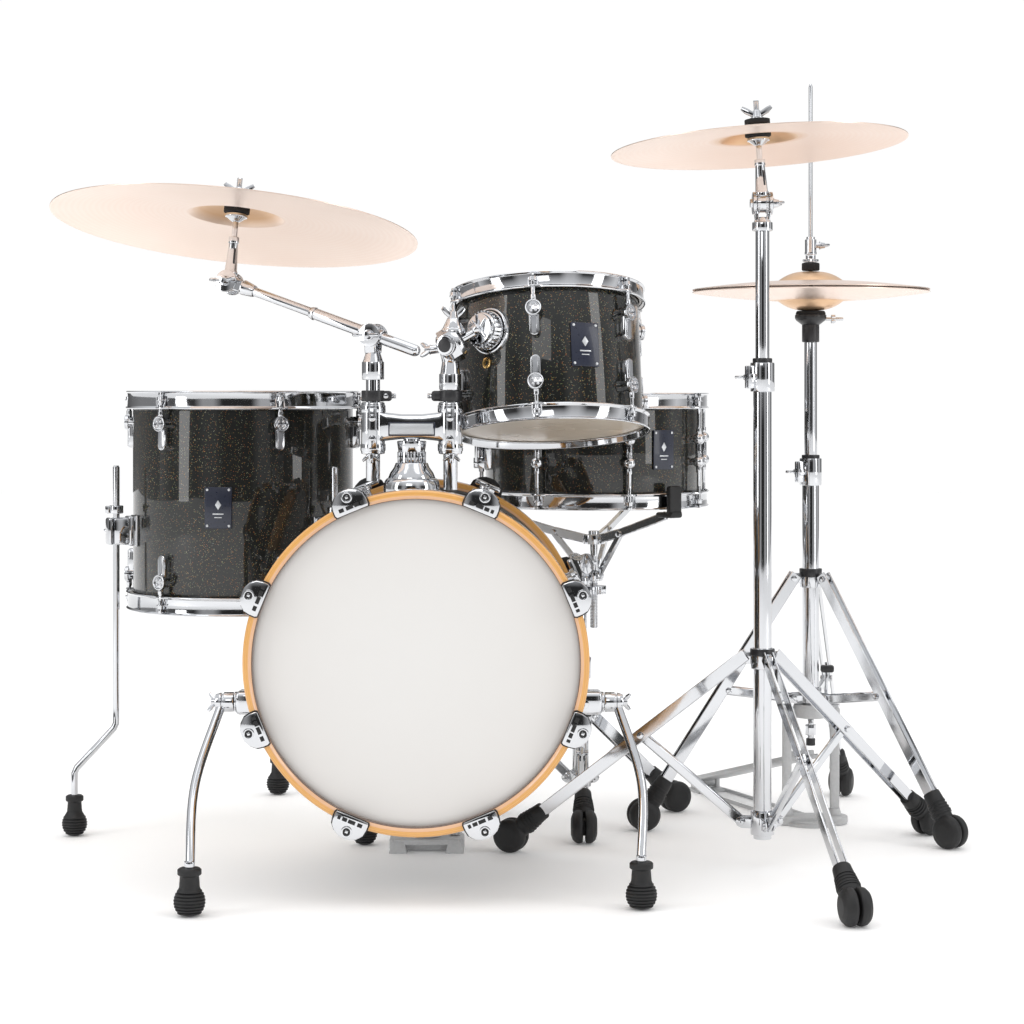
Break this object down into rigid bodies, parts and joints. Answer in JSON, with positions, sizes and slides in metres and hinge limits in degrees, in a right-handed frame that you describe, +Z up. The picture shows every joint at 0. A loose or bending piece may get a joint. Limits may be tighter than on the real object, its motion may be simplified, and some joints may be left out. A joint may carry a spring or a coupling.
{
  "type": "acoustic drum kit",
  "caption": "Compact acoustic drum kit with bass drum, mounted tom, floor tom, snare on a stand, ride on a boom, crash on a tripod, hi-hat and bass pedal, all with working joints.",
  "frame": {"origin": "on the floor under the outer face of the bass drum's batter hoop, on the drum's axis, where the drum's lift rests", "axes": "+X across the kit from the floor tom to the hi-hat, +Y from the audience's side to the player's side, +Z up"},
  "size_m": [1.316, 1.0394, 1.117],
  "materials": {
    "lacquered_shell": "glossy black lacquer with a fine metal sparkle",
    "maple_hoop": "glossy honey maple",
    "chrome": "polished",
    "coated_head": "smooth white film",
    "clear_head": "hazy clear film",
    "cymbal_bronze": "turned bronze",
    "cast_grey": "matt grey casting",
    "black_rubber": "matt rubber",
    "black_felt": "pressed felt",
    "black_plastic": "satin moulding",
    "badge_plate": "dark enamelled plate",
    "brass_grommet": "polished vent grommet",
    "snare_wire": "bright wire"
  },
  "bodies": {
    "base": {"bass_shell": "lacquered_shell", "bass_batter_hoop": "maple_hoop", "bass_batter_head": "coated_head", "bass_front_hoop": "maple_hoop", "bass_front_head": "coated_head", "bass_lift": "cast_grey", "mast_socket": "chrome", "floor_shell": "lacquered_shell", "floor_top_hoop": "chrome", "floor_batter_head": "coated_head", "floor_bottom_hoop": "chrome", "floor_bottom_head": "clear_head", "snare_stand_base": "chrome", "hat_base": "cast_grey", "hat_leg_1": "chrome", "hat_leg_2": "chrome", "hat_leg_3": "chrome", "pedal_frame": "cast_grey"},
    "spur_left": {"spur_left": "chrome"},
    "spur_right": {"spur_right": "chrome"},
    "mast": {"tom_mast": "chrome"},
    "ride_post": {"ride_post": "chrome"},
    "boom": {"boom_arm": "chrome"},
    "ride_tilter": {"ride_tilter": "chrome"},
    "ride_cymbal": {"ride_cymbal": "cymbal_bronze"},
    "tom_post": {"tom_post": "chrome"},
    "tom": {"tom_shell": "lacquered_shell", "tom_top_hoop": "chrome", "tom_batter_head": "coated_head", "tom_bottom_hoop": "chrome", "tom_bottom_head": "clear_head"},
    "floor_leg_1": {"floor_leg_1": "chrome"},
    "floor_leg_2": {"floor_leg_2": "chrome"},
    "floor_leg_3": {"floor_leg_3": "chrome"},
    "snare_post": {"snare_post": "chrome"},
    "snare": {"snare_basket": "chrome", "snare_shell": "lacquered_shell", "snare_top_hoop": "chrome", "snare_batter_head": "coated_head", "snare_bottom_hoop": "chrome", "snare_bottom_head": "clear_head"},
    "strainer": {"snare_strainer_lever": "chrome"},
    "crash_base": {"crash_base_tube": "chrome"},
    "crash_collar": {"crash_collar": "chrome"},
    "crash_brace_1": {"crash_brace_1": "chrome"},
    "crash_brace_2": {"crash_brace_2": "chrome"},
    "crash_brace_3": {"crash_brace_3": "chrome"},
    "crash_leg_1": {"crash_leg_1": "chrome"},
    "crash_leg_2": {"crash_leg_2": "chrome"},
    "crash_leg_3": {"crash_leg_3": "chrome"},
    "crash_upper": {"crash_upper_tube": "chrome"},
    "crash_tilter": {"crash_tilter": "chrome"},
    "crash_cymbal": {"crash_cymbal": "cymbal_bronze"},
    "hat_upper": {"hat_upper_tube": "chrome", "hat_bottom_cymbal": "cymbal_bronze"},
    "hat_pull": {"hat_pull_rod": "chrome", "hat_top_cymbal": "cymbal_bronze"},
    "hat_footboard": {"hat_footboard": "cast_grey"},
    "pedal_footboard": {"pedal_footboard": "cast_grey"},
    "pedal_beater": {"pedal_beater": "chrome"}
  },
  "joints": [
    {"name": "spur_left_fold", "type": "hinge", "parent": "base", "child": "spur_left", "pos_m": [-0.257, -0.3, 0.247], "axis": [-1, 0, 0], "range_deg": [0, 60]},
    {"name": "spur_right_fold", "type": "hinge", "parent": "base", "child": "spur_right", "pos_m": [0.257, -0.3, 0.247], "axis": [-1, 0, 0], "range_deg": [0, 60]},
    {"name": "mast_height", "type": "slide", "parent": "base", "child": "mast", "axis": [0, 0, 1], "range_m": [0, 0.09]},
    {"name": "boom_swivel", "type": "hinge", "parent": "mast", "child": "ride_post", "pos_m": [-0.066, -0.2045, 0.62], "axis": [0, 0, 1], "range_deg": [-15, 40]},
    {"name": "boom_tilt", "type": "hinge", "parent": "ride_post", "child": "boom", "pos_m": [-0.066, -0.2045, 0.728], "axis": [0.3804, 0.9248, 0], "range_deg": [-8, 20]},
    {"name": "ride_tilt", "type": "hinge", "parent": "boom", "child": "ride_tilter", "pos_m": [-0.269, -0.121, 0.803], "axis": [0.3236, 0.9322, -0.162], "range_deg": [-15, 15]},
    {"name": "ride_swing", "type": "hinge", "parent": "ride_tilter", "child": "ride_cymbal", "pos_m": [-0.26015, -0.10522, 0.9115], "axis": [1, 0, 0], "range_deg": [-7, 7], "stiffness_Nm_per_rad": 20},
    {"name": "tom_swivel", "type": "hinge", "parent": "mast", "child": "tom_post", "pos_m": [0.038, -0.2045, 0.6], "axis": [0, 0, 1], "range_deg": [-25, 0]},
    {"name": "tom_tilt", "type": "hinge", "parent": "tom_post", "child": "tom", "pos_m": [0.042, -0.2045, 0.716], "axis": [1, 0, 0], "range_deg": [-10, 0]},
    {"name": "floor_leg_1_height", "type": "slide", "parent": "base", "child": "floor_leg_1", "axis": [0, 0, 1], "range_m": [0, 0.08]},
    {"name": "floor_leg_2_height", "type": "slide", "parent": "base", "child": "floor_leg_2", "axis": [0, 0, 1], "range_m": [0, 0.08]},
    {"name": "floor_leg_3_height", "type": "slide", "parent": "base", "child": "floor_leg_3", "axis": [0, 0, 1], "range_m": [0, 0.05]},
    {"name": "snare_height", "type": "slide", "parent": "base", "child": "snare_post", "axis": [0, 0, 1], "range_m": [-0.03, 0.06]},
    {"name": "snare_tilt", "type": "hinge", "parent": "snare_post", "child": "snare", "pos_m": [0.225, 0.199, 0.392], "axis": [0.7526, -0.6585, 0], "range_deg": [-7, 0]},
    {"name": "strainer_throw", "type": "hinge", "parent": "snare", "child": "strainer", "pos_m": [0.06913, 0.17228, 0.5448], "axis": [0.2756, -0.9613, 0], "range_deg": [0, 80]},
    {"name": "crash_lift", "type": "slide", "parent": "base", "child": "crash_base", "axis": [0, 0, 1], "range_m": [0, 0.0216]},
    {"name": "crash_collar_slide", "type": "slide", "parent": "crash_base", "child": "crash_collar", "axis": [0, 0, 1], "range_m": [0, 0.1252]},
    {"name": "crash_fold", "type": "hinge", "parent": "crash_base", "child": "crash_brace_1", "pos_m": [0.43689, -0.14019, 0.062], "axis": [0.309, 0.9511, 0], "range_deg": [0, 36]},
    {"name": "crash_brace_2_fold", "type": "hinge", "parent": "crash_base", "child": "crash_brace_2", "pos_m": [0.48518, -0.12993, 0.062], "axis": [0.6691, -0.7431, 0], "range_deg": [0, 36.5]},
    {"name": "crash_brace_3_fold", "type": "hinge", "parent": "crash_base", "child": "crash_brace_3", "pos_m": [0.46992, -0.17688, 0.062], "axis": [-0.9781, -0.2079, 0], "range_deg": [0, 36.5]},
    {"name": "crash_leg_1_fold", "type": "hinge", "parent": "crash_brace_1", "child": "crash_leg_1", "pos_m": [0.30122, -0.09611, 0.1745], "axis": [0.309, 0.9511, 0], "range_deg": [-72.5, 0]},
    {"name": "crash_leg_2_fold", "type": "hinge", "parent": "crash_brace_2", "child": "crash_leg_2", "pos_m": [0.59119, -0.03447, 0.1745], "axis": [0.6691, -0.7431, 0], "range_deg": [-72.5, 0]},
    {"name": "crash_leg_3_fold", "type": "hinge", "parent": "crash_brace_3", "child": "crash_leg_3", "pos_m": [0.49959, -0.31642, 0.1745], "axis": [-0.9781, -0.2079, 0], "range_deg": [-72.5, 0]},
    {"name": "crash_height", "type": "slide", "parent": "crash_base", "child": "crash_upper", "axis": [0, 0, 1], "range_m": [-0.05, 0.06]},
    {"name": "crash_tilt", "type": "hinge", "parent": "crash_upper", "child": "crash_tilter", "pos_m": [0.464, -0.149, 0.91], "axis": [-1, 0, 0], "range_deg": [-20, 20]},
    {"name": "crash_swing", "type": "hinge", "parent": "crash_tilter", "child": "crash_cymbal", "pos_m": [0.45792, -0.1442, 1.01371], "axis": [1, 0, 0], "range_deg": [-7, 7], "stiffness_Nm_per_rad": 15},
    {"name": "hat_height", "type": "slide", "parent": "base", "child": "hat_upper", "axis": [0, 0, 1], "range_m": [-0.08, 0]},
    {"name": "hat_pedal", "type": "hinge", "parent": "base", "child": "hat_footboard", "pos_m": [0.4378, 0.4825, 0.014], "axis": [-0.9135, -0.4067, 0], "range_deg": [0, 6]},
    {"name": "hat_pull", "type": "slide", "parent": "base", "child": "hat_pull", "axis": [0, 0, 1], "range_m": [0, 0.034]},
    {"name": "pedal_press", "type": "hinge", "parent": "base", "child": "pedal_footboard", "pos_m": [0, 0.322, 0.014], "axis": [1, 0, 0], "range_deg": [0, 12], "stiffness_Nm_per_rad": 8, "springref_deg": -8.59},
    {"name": "beater_swing", "type": "hinge", "parent": "base", "child": "pedal_beater", "pos_m": [0, 0.072, 0.135], "axis": [1, 0, 0], "range_deg": [0, 48.5]}
  ],
  "couplings": [
    {"joint": "crash_lift", "follows": "crash_fold", "m_per_rad": 0.033527},
    {"joint": "crash_collar_slide", "follows": "crash_fold", "m_per_rad": 0.19852},
    {"joint": "crash_brace_2_fold", "follows": "crash_fold", "ratio": 1},
    {"joint": "crash_brace_3_fold", "follows": "crash_fold", "ratio": 1},
    {"joint": "crash_leg_1_fold", "follows": "crash_fold", "ratio": -2},
    {"joint": "crash_leg_2_fold", "follows": "crash_fold", "ratio": -2},
    {"joint": "crash_leg_3_fold", "follows": "crash_fold", "ratio": -2},
    {"joint": "hat_pull", "follows": "hat_pedal", "m_per_rad": 0.32},
    {"joint": "beater_swing", "follows": "pedal_press", "ratio": 4}
  ]
}
